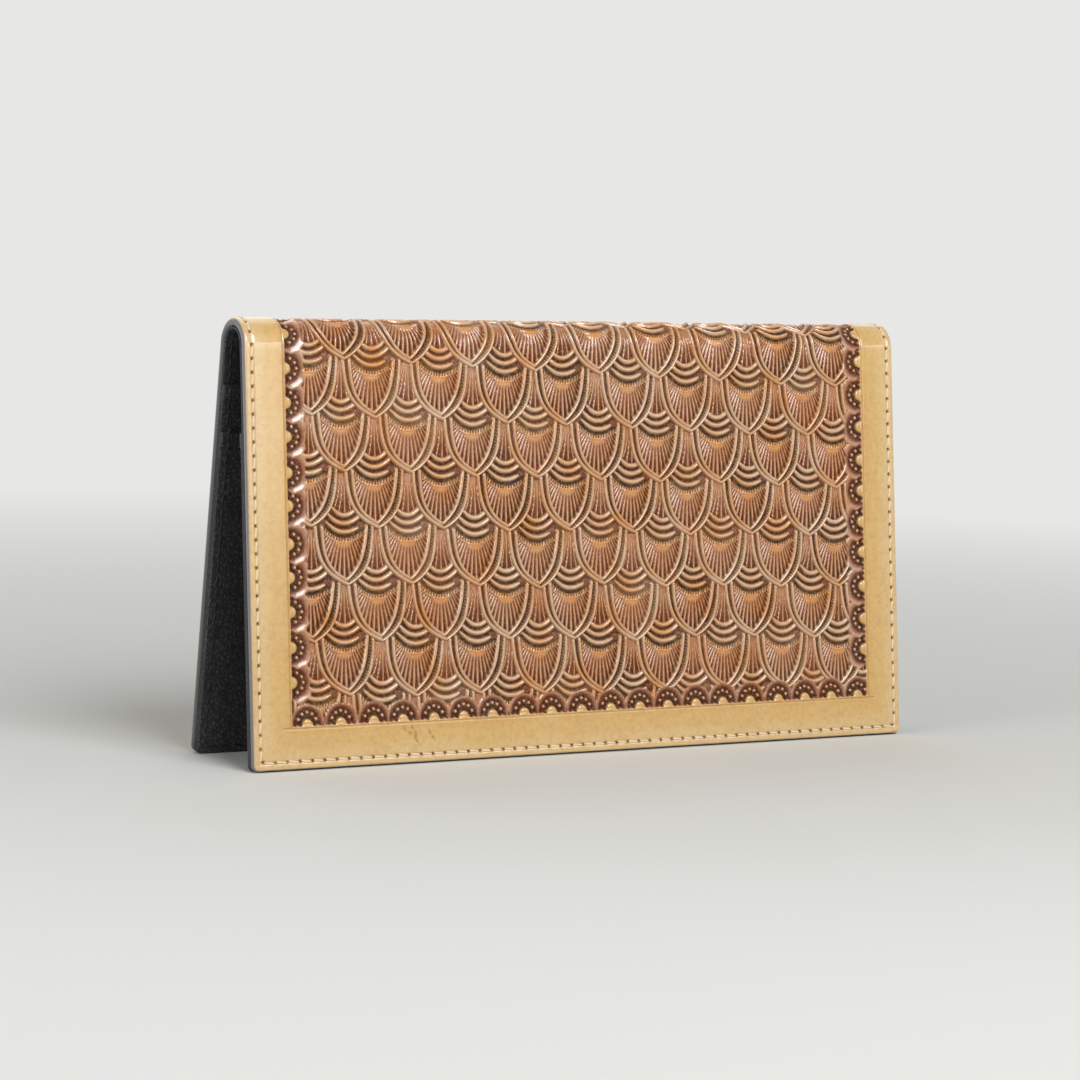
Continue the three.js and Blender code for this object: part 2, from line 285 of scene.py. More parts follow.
def stampEdge(field, xs, ss, x0, s0, inwardX, inwardS, burnish):
    v = edgeStamp
    area = windowOf(xs, ss, x0, s0, *v["window"])
    alongX, alongS = np.meshgrid(xs[area[1]] - x0, ss[area[0]] - s0)
    if alongX.size == 0:
        return
    into = alongX * inwardX + alongS * inwardS
    across = alongS * inwardX - alongX * inwardS
    a, b = across / v["halfWide"], into / v["depth"]
    radius = np.hypot(a, b)
    corner = ease(np.abs(across), 0.8, 3.0) * ease(into, 0.2, 1.8)
    reach = 1 + burnish * corner
    halo = np.clip((radius - v["ring"]) / (reach - v["ring"]), 0, 1)
    rise = 0.34 + 0.77 * burnish * corner
    height = np.maximum(v["ground"] + rise * halo ** 1.3, v["ground"] * ease(into, 0.0, 0.6))
    dark = 0.97 - (0.62 + 1.35 * burnish * corner) * ease(halo, 0, 1.0 - burnish)
    rust = 0.45 + 0.55 * bead(halo - 0.35, 0.5) + 0.35 * ease(halo, 0.5, 1) * (1 - 3.8 * burnish * corner)
    for i in range(v["pearls"]):
        turn = v["pearlStep"] * (i - (v["pearls"] - 1) / 2)
        offA = (a - v["pearlRing"] * math.sin(turn)) * v["halfWide"]
        offB = (b - v["pearlRing"] * math.cos(turn)) * v["depth"]
        pearl = bead(np.hypot(offA, offB), v["pearl"])
        height = np.maximum(height, v["ground"] + 0.38 * np.sqrt(pearl))
        dark = dark * (1 - 0.9 * ease(pearl, 0, 0.6))
        rust = rust * (1 - 0.8 * pearl)
    out = np.hypot(across / v["domeWide"], into / v["domeDeep"])
    dome = ease(-out, -1.05, -0.80)
    height += (-0.03 - 0.16 * out ** 2 - 0.06 * bead(into - 0.55, 0.16) - height) * dome
    dark += (0.15 * bead(into - 0.55, 0.16) - dark) * dome
    rust += (0.1 - rust) * dome
    show = ease(-radius / reach, -1.10, -0.94) * ease(into, -0.15, 0.1)
    stamp = {"height": height, "dark": dark, "gold": 0.3 * dome, "rust": rust, "plain": dome}
    press(field, area, show, stamp)


# The tooled field of one cover: a window of the pattern that runs over the fold
tooled = {
    "halfWide": 73.5,
    "end": 79.3,                       # s of the border line along the free edge
    "firstLeft": 9.2,                  # first stamps, up from that line and in from the left end
    "firstRight": 10.6,
    "firstBelow": 4.0,
    "sidePitch": 7.25,
    "endPitch": 7.41,
    "rows": 10,                        # each way from the first
    "columns": 6,                      # each way from the middle one
    "sideStamps": 14,
    "endStamps": 20,
    "edgeJitter": 0.2,                 # of each border stamp, along its line
    "seed": {-1: 7, 1: 11},            # front and rear
    "jitter": (0.28, 0.24, 0.015, 0.08, 0.15),     # of each scale: across, down, turn, depth and tone
}


def toolField(xs, ss, side):
    shape = (len(ss), len(xs))
    field = {"height": np.full(shape, scale["ground"]), "dark": np.full(shape, 0.6)}
    field.update({"gold": np.zeros(shape), "rust": np.full(shape, 0.6), "plain": np.zeros(shape)})
    rng = np.random.default_rng(tooled["seed"][side])
    seen = ss if side < 0 else 2 * crown - ss[::-1]    # the front's rows run on over the fold
    canvas = {name: value[::side * -1] for name, value in field.items()}
    for row in range(tooled["rows"], -tooled["rows"], -1):
        for column in range(-tooled["columns"], tooled["columns"] + 1):
            jitter = rng.normal(0, tooled["jitter"])
            x0 = scale["offset"] + scale["pitch"] * (column - 0.5 * (row % 2)) + jitter[0]
            fall = scale["fall"] - scale["fallLess"] * max(row, 0)
            s0 = scale["firstTip"] + scale["row"] * row + fall * x0 + jitter[1]
            stampScale(canvas, xs, seen, x0, s0, jitter[2], 1 + jitter[3], 1 + jitter[4])
    for end, first in ((-1, tooled["firstLeft"]), (1, tooled["firstRight"])):
        for i in range(tooled["sideStamps"]):
            s0 = tooled["end"] - first - tooled["sidePitch"] * i + rng.normal(0, tooled["edgeJitter"])
            stampEdge(field, xs, ss, end * tooled["halfWide"], s0, -end, 0, edgeStamp["burnish"][0])
    for i in range(tooled["endStamps"]):
        x0 = -tooled["halfWide"] + tooled["firstBelow"] + tooled["endPitch"] * i
        x0 += rng.normal(0, tooled["edgeJitter"])
        stampEdge(field, xs, ss, x0, tooled["end"], 0, -1, edgeStamp["burnish"][1])
    return field


# Sheets: a fine grid for the face, a wall round it and a plain back
def lines(*stretches):                 # stretches of from, to and step, joined into one rising list
    parts = [np.linspace(a, b, max(1, round((b - a) / step)), endpoint=False) for a, b, step in stretches]
    return np.append(np.concatenate(parts), stretches[-1][1])


def roundCorners(x, s):                # draws the grid's two free corners in to their radius
    radius = wallet["corner"]
    a = np.maximum(np.abs(x) - (halfWidth - radius), 0)
    b = np.maximum(s - (wallet["leg"] - radius), 0)
    pull = np.maximum(a, b) / np.maximum(np.hypot(a, b), 1e-9)
    pull = np.where((a > 0) & (b > 0), pull, 1)
    return np.sign(x) * (np.abs(x) - a + a * pull), s - b + b * pull


def fromEdge(x, s):                    # distance in from the free edge and the ends
    radius = wallet["corner"]
    a = np.abs(x) - (halfWidth - radius)
    b = s - (wallet["leg"] - radius)
    return radius - np.where((a > 0) & (b > 0), np.hypot(a, b), np.maximum(a, b))


def lip(distance, radius):             # how far a rounded edge falls away
    near = np.clip(radius - distance, 0, radius)
    return radius - np.sqrt(radius ** 2 - near ** 2)


def gridNormals(points):
    normals = np.cross(np.gradient(points, axis=1), np.gradient(points, axis=0))
    return normals / np.maximum(np.linalg.norm(normals, axis=2, keepdims=True), 1e-12)


def coordinates(mesh):
    flat = np.zeros(len(mesh.vertices) * 3)
    mesh.vertices.foreach_get("co", flat)
    return flat.reshape(-1, 3)


def addGrid(name, points):             # a primitive grid, moved on to the points
    rows, columns = points.shape[:2]
    bpy.ops.object.select_all(action="DESELECT")
    bpy.ops.mesh.primitive_grid_add(x_subdivisions=columns - 1, y_subdivisions=rows - 1, size=2)
    piece = bpy.context.object
    piece.name = piece.data.name = name
    flat = coordinates(piece.data)
    column = np.round((flat[:, 0] + 1) / 2 * (columns - 1)).astype(int)
    row = np.round((flat[:, 1] + 1) / 2 * (rows - 1)).astype(int)
    piece.data.vertices.foreach_set("co", points[row, column].astype(np.float32).ravel())
    return piece, row, column


def selectOpenRim():
    bpy.ops.mesh.select_mode(type="EDGE")
    bpy.ops.mesh.select_all(action="DESELECT")
    bpy.ops.mesh.select_non_manifold(extend=False, use_wire=False, use_multi_face=False,
                                     use_non_contiguous=False, use_verts=False)


def extrudeRim(piece, row, column, target):    # draws the open rim out to the target points
    mesh = piece.data
    start = len(mesh.vertices)
    selectOnly(piece)
    bpy.ops.object.mode_set(mode="EDIT")
    selectOpenRim()
    bpy.ops.mesh.extrude_edges_move()
    bpy.ops.object.mode_set(mode="OBJECT")
    places = coordinates(mesh)
    keys = {tuple(key): i for i, key in enumerate(np.round(places[:start] * 1e7).astype(int).tolist())}
    source = [keys[tuple(key)] for key in np.round(places[start:] * 1e7).astype(int).tolist()]
    row = np.append(row, row[source])
    column = np.append(column, column[source])
    places[start:] = target[row[start:], column[start:]]
    mesh.vertices.foreach_set("co", places.astype(np.float32).ravel())
    return row, column


def closeBack(piece, row, column, start):      # long strips from end to end, then the two gaps left
    mesh = piece.data
    rows, columns = row.max(), column.max()
    middle = (np.arange(len(row)) >= start) & (row > 0) & (row < rows)
    ends = [middle & (column == end) for end in (0, columns)]
    pairs = np.zeros(len(mesh.edges) * 2, int)
    mesh.edges.foreach_get("vertices", pairs)
    pairs = pairs.reshape(-1, 2)
    chosen = ends[0][pairs].all(1) | ends[1][pairs].all(1)
    selectOnly(piece)
    bpy.ops.object.mode_set(mode="EDIT")
    bpy.ops.mesh.select_mode(type="EDGE")
    bpy.ops.mesh.select_all(action="DESELECT")
    bpy.ops.object.mode_set(mode="OBJECT")
    mesh.edges.foreach_set("select", chosen)
    bpy.ops.object.mode_set(mode="EDIT")
    bpy.ops.mesh.bridge_edge_loops(type="SINGLE")
    selectOpenRim()
    bpy.ops.mesh.fill_holes(sides=0)
    bpy.ops.mesh.select_all(action="SELECT")
    bpy.ops.mesh.normals_make_consistent(inside=False)
    bpy.ops.object.mode_set(mode="OBJECT")


def setValues(mesh, name, values):
    attribute = mesh.attributes.new(name, "FLOAT", "POINT")
    attribute.data.foreach_set("value", np.asarray(values, np.float32))


wallProfile = ((0.42, 0.07), (0.80, 0.04), (1.0, -0.20))     # share of the thickness, bulge of the cut edge


# side is -1 for the front leg and 1 for the rear; facing is 1 where the face looks out; sag bends the normals
def makeSheet(name, side, xs, ss, face, back, height, facing, masks, columns=None, sag=0.0):
    x, s = roundCorners(*np.meshgrid(xs, ss))
    points = place(x, s, face + facing * height, side)
    normals = gridNormals(place(x, s, face + facing * (height - sag), side)) * (side * facing)
    onEdge = fromEdge(x, s) < 1e-6
    towardRear = 0.5 + 0.5 * side * ease(s, crown, 0)
    away = np.stack([np.maximum(np.abs(x) - halfWidth + wallet["corner"], 0) * np.sign(x),
                     np.maximum(s - wallet["leg"] + wallet["corner"], 0)], -1)
    away = away / np.maximum(np.linalg.norm(away, axis=2, keepdims=True), 1e-9) * onEdge[..., None]
    wall = []
    for share, bulge in wallProfile:
        r = face + (back - face) * share
        wall.append(place(x + away[..., 0] * bulge, s + away[..., 1] * bulge, r, side))
    pieces = []
    spans = columns or [(0, len(xs) - 1)]
    for number, (first, last) in enumerate(spans):
        part = slice(first, last + 1)
        label = name if len(spans) == 1 else f"{name}_{number + 1}"
        piece, row, column = addGrid(label, points[:, part])
        gridSize = len(row)
        for ring in wall:
            start = len(row)
            row, column = extrudeRim(piece, row, column, ring[:, part])
        closeBack(piece, row, column, start)
        mesh = piece.data
        for mask, values in masks.items():
            onGrid = values[:, part][row[:gridSize], column[:gridSize]]
            setValues(mesh, mask, np.append(onGrid, np.full(len(row) - gridSize, 1.0 * (mask == "paint"))))
        setValues(mesh, "rear", towardRear[:, part][row, column])
        finishNormals(mesh, normals[:, part][row[:gridSize], column[:gridSize]])
        pieces.append(piece)
    return pieces


def finishNormals(mesh, gridNormal):   # gives the face its grid normals, so its parts meet without a line
    selectOnly(bpy.context.object)
    bpy.ops.object.shade_smooth()
    corner = np.zeros(len(mesh.loops), int)
    mesh.loops.foreach_get("vertex_index", corner)
    sizes = np.zeros(len(mesh.polygons), int)
    mesh.polygons.foreach_get("loop_total", sizes)
    faceOf = np.repeat(np.arange(len(sizes)), sizes)
    onGrid = corner < len(gridNormal)
    whole = np.bincount(faceOf, ~onGrid, len(sizes)) == 0
    keep = onGrid & whole[faceOf]
    normals = np.zeros((len(corner), 3))
    normals[keep] = gridNormal[corner[keep]]
    mesh.normals_split_custom_set(normals.tolist())


# Cover: the tooled sheet in two halves that meet on the crown of the fold
cover = {
    "step": {"front": 0.20, "rear": 0.25},     # grid of the tooled field
    "margin": 0.6,                     # grid of the plain margin
    "lipRadius": 0.45,
    "lean": math.radians(5),           # of the normals where the fold begins
    "leanReach": 12.0,
    "grooveHalf": 0.5,                 # seam groove
    "grooveDepth": 0.12,
    "parts": 4,
    "blur": 3.5,                       # grid cells over which a hollow is judged
    "hollow": 0.32,                    # depth that takes the most stain
}
scribed = {                            # border line, cut past the corners of the field
    "out": 0.3,
    "half": 0.24,
    "over": 2.0,
    "depth": 0.10,
}
scratchDepth = 0.04
scratches = [                          # on the margin: x and s from and to
    (-47.5, 80.2, -43.6, 83.6),
    (-45.4, 80.0, -43.2, 84.8),
    (-41.0, 81.2, -39.6, 84.2),
]


def seamOffset(x, s):                  # distance from the seam line
    return np.abs(fromEdge(x, s) - wallet["seamInset"])


def coverLines(leg):
    step, margin = cover["step"][leg], cover["margin"]
    field = halfWidth - tooled["halfWide"]
    inset = [0, 0.5, 1.0, 2.2, field - 0.7, field]
    ends = list(zip(inset, inset[1:], [0.1, 0.25, 0.15, margin, 0.12]))
    left = [(a - halfWidth, b - halfWidth, size) for a, b, size in ends]
    right = [(halfWidth - b, halfWidth - a, size) for a, b, size in reversed(ends)]
    xs = lines(*left, (-tooled["halfWide"], tooled["halfWide"], step), *right)
    free = [(wallet["leg"] - b, wallet["leg"] - a, size) for a, b, size in reversed(ends[:3])]
    ss = lines((crown, 0, step), (0, tooled["end"], step), (tooled["end"], tooled["end"] + 0.7, 0.12),
               (tooled["end"] + 0.7, wallet["leg"] - inset[3], margin), *free)
    return xs, ss


def scribedLine(x, s):                 # 1 in the middle of the line
    v = scribed
    wide, end = tooled["halfWide"] + v["out"], tooled["end"] + v["out"]
    below = bead(s - end, v["half"]) * ease(wide + v["over"] - np.abs(x), 0, 0.5)
    beside = bead(np.abs(x) - wide, v["half"]) * ease(end + v["half"] - s, 0, 0.3)
    return np.maximum(below, beside)


def scratched(x, s):
    marks = np.zeros_like(x)
    for x0, s0, x1, s1 in scratches:
        length = math.hypot(x1 - x0, s1 - s0)
        along = ((x - x0) * (x1 - x0) + (s - s0) * (s1 - s0)) / length
        across = ((x - x0) * (s1 - s0) - (s - s0) * (x1 - x0)) / length
        wavy = across - 0.25 * np.sin(along * 1.7 + x0)
        broken = 0.55 + 0.45 * np.sin(along * 4.1 + s0)
        ends = ease(along, 0, 0.5) * ease(length - along, 0, 0.5)
        marks = np.maximum(marks, bead(wavy, 0.32) * broken * ends)
    return marks


def blurred(values, cells):            # soft copy of a grid of values
    reach = int(3 * cells + 1)
    weights = np.exp(-0.5 * (np.arange(-reach, reach + 1) / cells) ** 2)
    weights /= weights.sum()
    for axis in (0, 1):
        padded = np.pad(values, [(reach, reach) if i == axis else (0, 0) for i in (0, 1)], mode="edge")
        size = values.shape[axis]
        values = sum(w * padded.take(range(i, i + size), axis) for i, w in enumerate(weights))
    return values


def coverRelief(xs, ss, side):
    x, s = roundCorners(*np.meshgrid(xs, ss))
    field = toolField(xs, ss, side)
    inside = ease(tooled["halfWide"] - np.abs(x), -0.01, 0.05) * ease(tooled["end"] - s, -0.01, 0.05)
    height = field["height"] * inside
    hollow = np.clip((blurred(height, cover["blur"]) - height) / cover["hollow"], -1, 1)
    # stain in the tooling's hollows and recesses, together with the painted shade on the right side of each
    # scale
    stainAndShade = np.clip(0.8 * field["dark"] + 0.5 * np.maximum(hollow, 0) + 0.25 * np.minimum(hollow, 0), 0, 1)
    toField = np.maximum(np.abs(x) - tooled["halfWide"], s - tooled["end"])
    groove = bead(seamOffset(x, s), cover["grooveHalf"])
    line = scribedLine(x, s) * (1 - inside)
    marks = scratched(x, s) * (side < 0)
    height = height - cover["grooveDepth"] * groove - scribed["depth"] * line - scratchDepth * marks
    height = height - lip(fromEdge(x, s), cover["lipRadius"])
    pits = needleHoles(xs, ss)
    height = height - seam["holeDepth"] * pits
    masks = {
        "stainAndShade": np.maximum.reduce([stainAndShade * inside, 0.25 * line, 0.9 * pits, 0.6 * marks]),
        "gold": field["gold"] * inside,
        "rust": np.maximum.reduce([field["rust"] * inside, 0.6 * line, pits, 0.6 * marks]),
        "field": inside * (1 - field["plain"]),
        "border": ease(toField, 0, 7) * (1 - inside),
        "paint": ease(-fromEdge(x, s), -0.16, -0.02),
    }
    return height, masks


def easeIn(s):                         # shades the leg as if it bent softly into the fold
    lean, reach = cover["lean"], cover["leanReach"]
    u = np.clip(s / crown, 0, 1)
    return lean * (reach / 3 * np.clip(1 - s / reach, 0, 1) ** 3 * (s >= 0) + (s < 0) * reach / 3
                   - crown * (u - u ** 3 + u ** 4 / 2))


def makeCover(side, leg):
    xs, ss = coverLines(leg)
    height, masks = coverRelief(xs, ss, side)
    cuts = np.linspace(0, len(xs) - 1, cover["parts"] + 1).astype(int)
    spans = list(zip(cuts, cuts[1:]))
    pieces = makeSheet(f"cover_{leg}_leather", side, xs, ss, wallet["coverFace"], wallet["coverBack"],
                       height, 1, masks, spans, easeIn(ss)[:, None])
    for piece in pieces:
        bendOverFold(piece, side, wallet["coverBack"])
        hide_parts(f"cover_{leg}", "cover_fold")
        piece.data.materials.append(tooledLeather)
    print(f"cover {leg}: {len(pieces)} parts, {sum(len(p.data.polygons) for p in pieces)} faces")


def bendOverFold(piece, side, radius):    # bakes the piece's transform into its mesh; the fold's start and end are worked out but not used
    start = place(0, 0, radius, side)
    end = place(0, crown, radius, side)
    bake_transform(piece)


# Lining and slip pockets: black leather, faces turned to the inside
lining = {
    "xStep": 2.5,
    "sStep": 2.0,
    "lipRadius": 0.22,
}
pockets = {                            # leg, mouth, back and face radius
    "front_pocket": {"leg": "front", "mouth": 18.2, "back": 3.25, "face": 2.7},
    "rear_upper_pocket": {"leg": "rear", "mouth": 8.7, "back": 3.25, "face": 2.7},
    "rear_lower_pocket": {"leg": "rear", "mouth": 18.6, "back": 2.6, "face": 2.05},
}
hem = {
    "height": 3.3,
    "thickness": 0.5,
    "round": 0.5,                      # rounding of the folded mouth
    "crease": 0.7,                     # crease in from the turned edge
}
sideOf = {"front": -1, "rear": 1}


def innerLines():                      # x lines of every inner sheet
    edge = wallet["corner"] + 0.2
    return lines((-halfWidth, 0.4 - halfWidth, 0.1), (0.4 - halfWidth, edge - halfWidth, 0.3),
                 (edge - halfWidth, halfWidth - edge, lining["xStep"]),
                 (halfWidth - edge, halfWidth - 0.4, 0.3), (halfWidth - 0.4, halfWidth, 0.1))


def freeLines(start):                  # s lines from start to the free edge
    edge = wallet["corner"] + 0.2
    leg = wallet["leg"]
    return [(start, leg - edge, lining["sStep"]), (leg - edge, leg - 0.4, 0.3), (leg - 0.4, leg, 0.1)]


def makeLining(side, leg):
    xs = innerLines()
    ss = lines((crown, 0, 0.4), *freeLines(0))
    x, s = roundCorners(*np.meshgrid(xs, ss))
    height = -lip(fromEdge(x, s), lining["lipRadius"])
    masks = {"paint": ease(-fromEdge(x, s), -0.1, -0.01)}
    piece = makeSheet(f"lining_{leg}_leather", side, xs, ss, wallet["liningFace"], wallet["liningBack"],
                      height, -1, masks)[0]
    bendOverFold(piece, side, wallet["liningFace"])
    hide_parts(f"lining_{leg}", "lining_fold")
    piece.data.materials.append(blackLeather)


def hemRise(s, mouth):                 # the turned hem over the pocket's own leather
    end = mouth + hem["height"]
    rise = hem["thickness"] * ease(end - s, -0.15, 0.3)
    crease = 0.12 * bead(s - end + hem["crease"], 0.25)
    return rise - crease - lip(s - mouth, hem["round"])


def makePocket(name):
    v = pockets[name]
    side, mouth = sideOf[v["leg"]], v["mouth"]
    end = mouth + hem["height"]
    xs = innerLines()
    ss = lines((mouth, mouth + 0.6, 0.1), (mouth + 0.6, end - 1.2, 0.5), (end - 1.2, end + 0.3, 0.1),
               *freeLines(end + 0.3))
    x, s = roundCorners(*np.meshgrid(xs, ss))
    height = hemRise(s, mouth) - lip(fromEdge(x, s), lining["lipRadius"])
    masks = {"paint": ease(-fromEdge(x, s), -0.1, -0.01)}
    piece = makeSheet(f"{name}_leather", side, xs, ss, v["face"], v["back"], height, -1, masks)[0]
    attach(piece, v["leg"])
    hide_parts(name)
    piece.data.materials.append(blackLeather)


# Seam: one stitch, copied along the seam line, and needle holes pressed between the stitches
seam = {
    "stitch": 2.88,                    # length of a stitch
    "gap": 0.30,                       # left open at each hole
    "thick": 0.26,                     # half width of the thread
    "round": 0.22,                     # rounding of its ends
    "sink": 0.12,                      # middle of the thread below the face
    "slant": math.radians(7),
    "holeLong": 0.56,
    "holeWide": 0.40,
    "holeDepth": 0.32,
}


def seamRuns():                        # from crown to crown: kind, length, and its line or side
    inset, turn = wallet["seamInset"], wallet["seamCorner"]
    x, s = halfWidth - inset, wallet["leg"] - inset
    quarter = math.pi / 2 * turn
    return [("down", s - turn - crown, -x), ("turn", quarter, -1), ("along", 2 * (x - turn), s),
            ("turn", quarter, 1), ("up", s - turn - crown, x)]


def seamPoint(along):                  # x and s, and the direction there
    inset, turn = wallet["seamInset"], wallet["seamCorner"]
    x, s = halfWidth - inset, wallet["leg"] - inset
    for kind, length, at in seamRuns():
        if along <= length or kind == "up":
            break
        along -= length
    if kind == "down":
        return (at, crown + along), (0, 1)
    if kind == "along":
        return (turn - x + along, at), (1, 0)
    if kind == "up":
        return (at, s - turn - along), (0, -1)
    angle = along / turn
    c, d = math.cos(angle), math.sin(angle)
    if at < 0:
        return (turn - x - turn * c, s - turn + turn * d), (d, c)
    return (x - turn + turn * d, s - turn + turn * c), (c, -d)


def seamPitch():                       # stitches in the whole seam of a leg, and their length
    length = sum(run[1] for run in seamRuns())
    count = round(length / seam["stitch"])
    return count, length / count


def needleHoles(xs, ss):               # 1 in the middle of a hole
    pits = np.zeros((len(ss), len(xs)))
    count, pitch = seamPitch()
    for i in range(count + 1):
        (x0, s0), (dx, ds) = seamPoint(i * pitch)
        area = windowOf(xs, ss, x0, s0, 0.8, 0.8, 0.8, 0.8)
        x, s = np.meshgrid(xs[area[1]] - x0, ss[area[0]] - s0)
        far = np.hypot((x * dx + s * ds) / seam["holeLong"], (s * dx - x * ds) / seam["holeWide"])
        pits[area] = np.maximum(pits[area], bead(far, 1))
    return pits


def modelStitch():                     # a grain of thread along X
    v = seam
    bpy.ops.object.select_all(action="DESELECT")
    long = v["stitch"] - 2 * v["gap"]
    bpy.ops.mesh.primitive_cylinder_add(vertices=8, radius=v["thick"] * mm, depth=long * mm)
    stitch = bpy.context.object
    bpy.ops.object.mode_set(mode="EDIT")
    bpy.ops.mesh.select_mode(type="EDGE")
    bpy.ops.mesh.select_all(action="DESELECT")
    bpy.ops.mesh.edges_select_sharp(sharpness=math.radians(60))
    bpy.ops.mesh.bevel(offset=v["round"] * mm, segments=2, affect="EDGES")
    bpy.ops.object.mode_set(mode="OBJECT")
    bpy.ops.transform.rotate(value=math.pi / 2, orient_axis="Y", center_override=(0, 0, 0))
    bpy.ops.object.transform_apply(location=False, rotation=True, scale=False)
    bpy.ops.transform.rotate(value=v["slant"], orient_axis="Z", center_override=(0, 0, 0))
    bpy.ops.object.transform_apply(location=False, rotation=True, scale=False)
    bpy.ops.object.shade_smooth()
    return stitch


def frameAt(along, side, radius, facing):      # where a stitch goes, with its own axes
    (x, s), (dx, ds) = seamPoint(along)
    r = radius(s) - facing * seam["sink"]
    here = place(x, s, r, side)
    ahead = place(x + dx * 0.1, s + ds * 0.1, r, side) - place(x - dx * 0.1, s - ds * 0.1, r, side)
    out = place(x, s, r + 0.1, side) - place(x, s, r - 0.1, side)
    tangent = Vector(ahead).normalized()
    normal = Vector(out).normalized() * facing
    matrix = Matrix((tangent, normal.cross(tangent), normal)).transposed().to_4x4()
    matrix.translation = Vector(here)
    return matrix


def copyAlong(name, model, places):    # copies of one model, joined into a piece
    copies = []
    for matrix in places:
        copy = model.copy()
        copy.data = model.data.copy()
        copy.data.transform(matrix)
        bpy.context.scene.collection.objects.link(copy)
        copies.append(copy)
    bpy.ops.object.select_all(action="DESELECT")
    for copy in copies:
        copy.select_set(True)
    bpy.context.view_layer.objects.active = copies[0]
    bpy.ops.object.join()
    piece = bpy.context.object
    piece.name = piece.data.name = name
    return piece


def makeSeam(leg, layer, radius, facing, bendRadius, material):
    side = sideOf[leg]
    count, pitch = seamPitch()
    places = [frameAt((i + 0.5) * pitch, side, radius, facing) for i in range(count)]
    thread = copyAlong(f"{layer}_stitches_{leg}", stitchModel, places)
    bendOverFold(thread, side, bendRadius)
    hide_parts(f"{layer}_thread_{leg}", f"{layer}_thread_fold_left", f"{layer}_thread_fold_right")
    thread.data.materials.append(material)
    print(f"{layer} seam {leg}: {count} stitches")


def innerFace(leg):                    # radius of what the seam goes through, seen from inside
    own = [v for v in pockets.values() if v["leg"] == leg]

    def radius(s):
        found = wallet["liningFace"]
        for v in sorted(own, key=lambda v: v["mouth"]):
            if s > v["mouth"]:
                found = v["face"] - hem["thickness"] * (s < v["mouth"] + hem["height"])
        return found
    return radius


# Materials
def newMaterial(name):
    material = bpy.data.materials.new(name)
    material.use_nodes = True
    nodes = material.node_tree.nodes
    nodes.clear()
    output = nodes.new("ShaderNodeOutputMaterial")
    shader = nodes.new("ShaderNodeBsdfPrincipled")
    material.node_tree.links.new(shader.outputs["BSDF"], output.inputs["Surface"])
    return material, shader


def linear(red, green, blue):          # a colour as it looks, 0 to 255
    values = [c / 255 for c in (red, green, blue)]
    return tuple(c / 12.92 if c <= 0.04045 else ((c + 0.055) / 1.055) ** 2.4 for c in values) + (1,)


class Wiring:                          # shorthand for adding and joining nodes in one tree
    def __init__(self, tree):
        self.tree = tree

    def node(self, kind, **settings):
        node = self.tree.nodes.new(kind)
        for name, value in settings.items():
            setattr(node, name, value)
        return node

    def join(self, source, target):
        self.tree.links.new(source, target)

    def fill(self, socket, value):
        if isinstance(value, bpy.types.NodeSocket):
            self.join(value, socket)
        else:
            socket.default_value = value

    def mask(self, name):
        return self.node("ShaderNodeAttribute", attribute_name=name).outputs["Fac"]

    def math(self, operation, a, b=0.0):
        node = self.node("ShaderNodeMath", operation=operation)
        self.fill(node.inputs[0], a)
        self.fill(node.inputs[1], b)
        return node.outputs[0]

    def range(self, value, low, high, toLow=0.0, toHigh=1.0):
        node = self.node("ShaderNodeMapRange", clamp=True)
        for socket, entry in zip(node.inputs, (value, low, high, toLow, toHigh)):
            self.fill(socket, entry)
        return node.outputs[0]

    def mix(self, share, a, b):
        node = self.node("ShaderNodeMix", data_type="RGBA")
        self.fill(node.inputs[0], share)
        self.fill(node.inputs[6], a)
        self.fill(node.inputs[7], b)
        return node.outputs[2]

    def noise(self, size, detail=3.0, rough=0.55):     # size of a blotch in mm
        node = self.node("ShaderNodeTexNoise")
        node.inputs["Scale"].default_value = 1 / (size * mm)
        node.inputs["Detail"].default_value = detail
        node.inputs["Roughness"].default_value = rough
        self.join(self.node("ShaderNodeTexCoord").outputs["Object"], node.inputs["Vector"])
        return node.outputs["Fac"]

    def bump(self, height, distance, strength=1.0, before=None):
        node = self.node("ShaderNodeBump")
        node.inputs["Strength"].default_value = strength
        node.inputs["Distance"].default_value = distance * mm
        self.join(height, node.inputs["Height"])
        if before is not None:
            self.join(before, node.inputs["Normal"])
        return node.outputs["Normal"]


